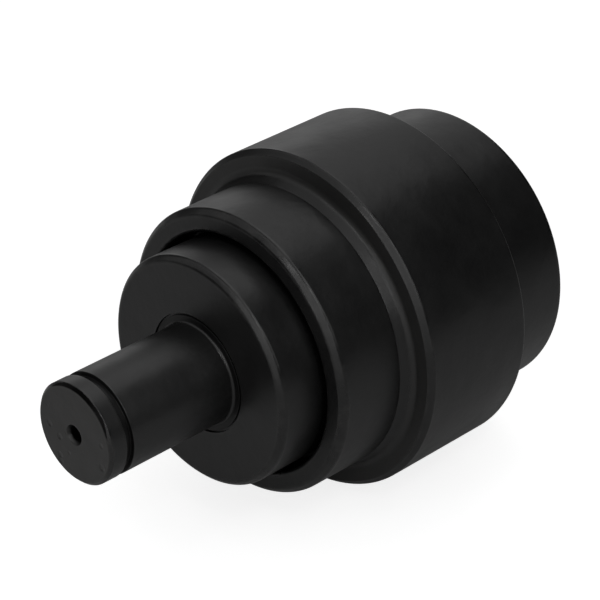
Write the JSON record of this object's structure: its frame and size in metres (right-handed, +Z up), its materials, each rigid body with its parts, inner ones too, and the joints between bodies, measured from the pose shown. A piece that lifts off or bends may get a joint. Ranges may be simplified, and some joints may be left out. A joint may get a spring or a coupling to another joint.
{
  "type": "excavator carrier roller",
  "caption": "Heavy flanged roller on a fixed stub shaft, with floating seals and a bolted end cover, that carries the upper run of a track chain.",
  "frame": {"origin": "on the roller's axis, halfway along the clamped length of the journal", "axes": "+Y along the roller's axis from the clamped journal towards the covered end, +Z up"},
  "size_m": [0.1712, 0.2493, 0.1712],
  "materials": {
    "painted_forged_steel": "satin black paint over turned forged steel",
    "painted_cast_iron": "satin black paint over machined iron",
    "painted_shaft_steel": "satin black paint over ground steel",
    "painted_fasteners": "black paint over steel fasteners",
    "machined_steel": "turned, oiled",
    "plain_fastener_steel": "phosphated, oiled",
    "lapped_seal_metal": "lapped face, cast sides",
    "bronze": "turned bearing bronze",
    "seal_rubber": "matt nitrile rubber"
  },
  "bodies": {
    "fixed_shaft": {"shaft": "painted_shaft_steel", "seal_collar": "painted_cast_iron", "collar_o_ring": "seal_rubber", "fixed_seal_ring": "lapped_seal_metal", "fixed_toric_ring": "seal_rubber", "thrust_plate": "machined_steel", "thrust_plate_bolts": "plain_fastener_steel", "thrust_plate_washers": "plain_fastener_steel"},
    "roller": {"roller_shell": "painted_forged_steel", "front_bush": "bronze", "rear_bush": "bronze", "turning_seal_ring": "lapped_seal_metal", "turning_toric_ring": "seal_rubber", "thrust_washer": "bronze", "thrust_washer_pins": "plain_fastener_steel", "rear_cover": "painted_cast_iron", "cover_o_ring": "seal_rubber", "cover_bolts": "painted_fasteners", "cover_washers": "painted_fasteners", "fill_plug": "painted_fasteners"}
  },
  "joints": [
    {"name": "roller_spin", "type": "hinge", "parent": "fixed_shaft", "child": "roller", "pos_m": [0, 0.1298, 0], "axis": [0, 1, 0], "continuous": true}
  ]
}
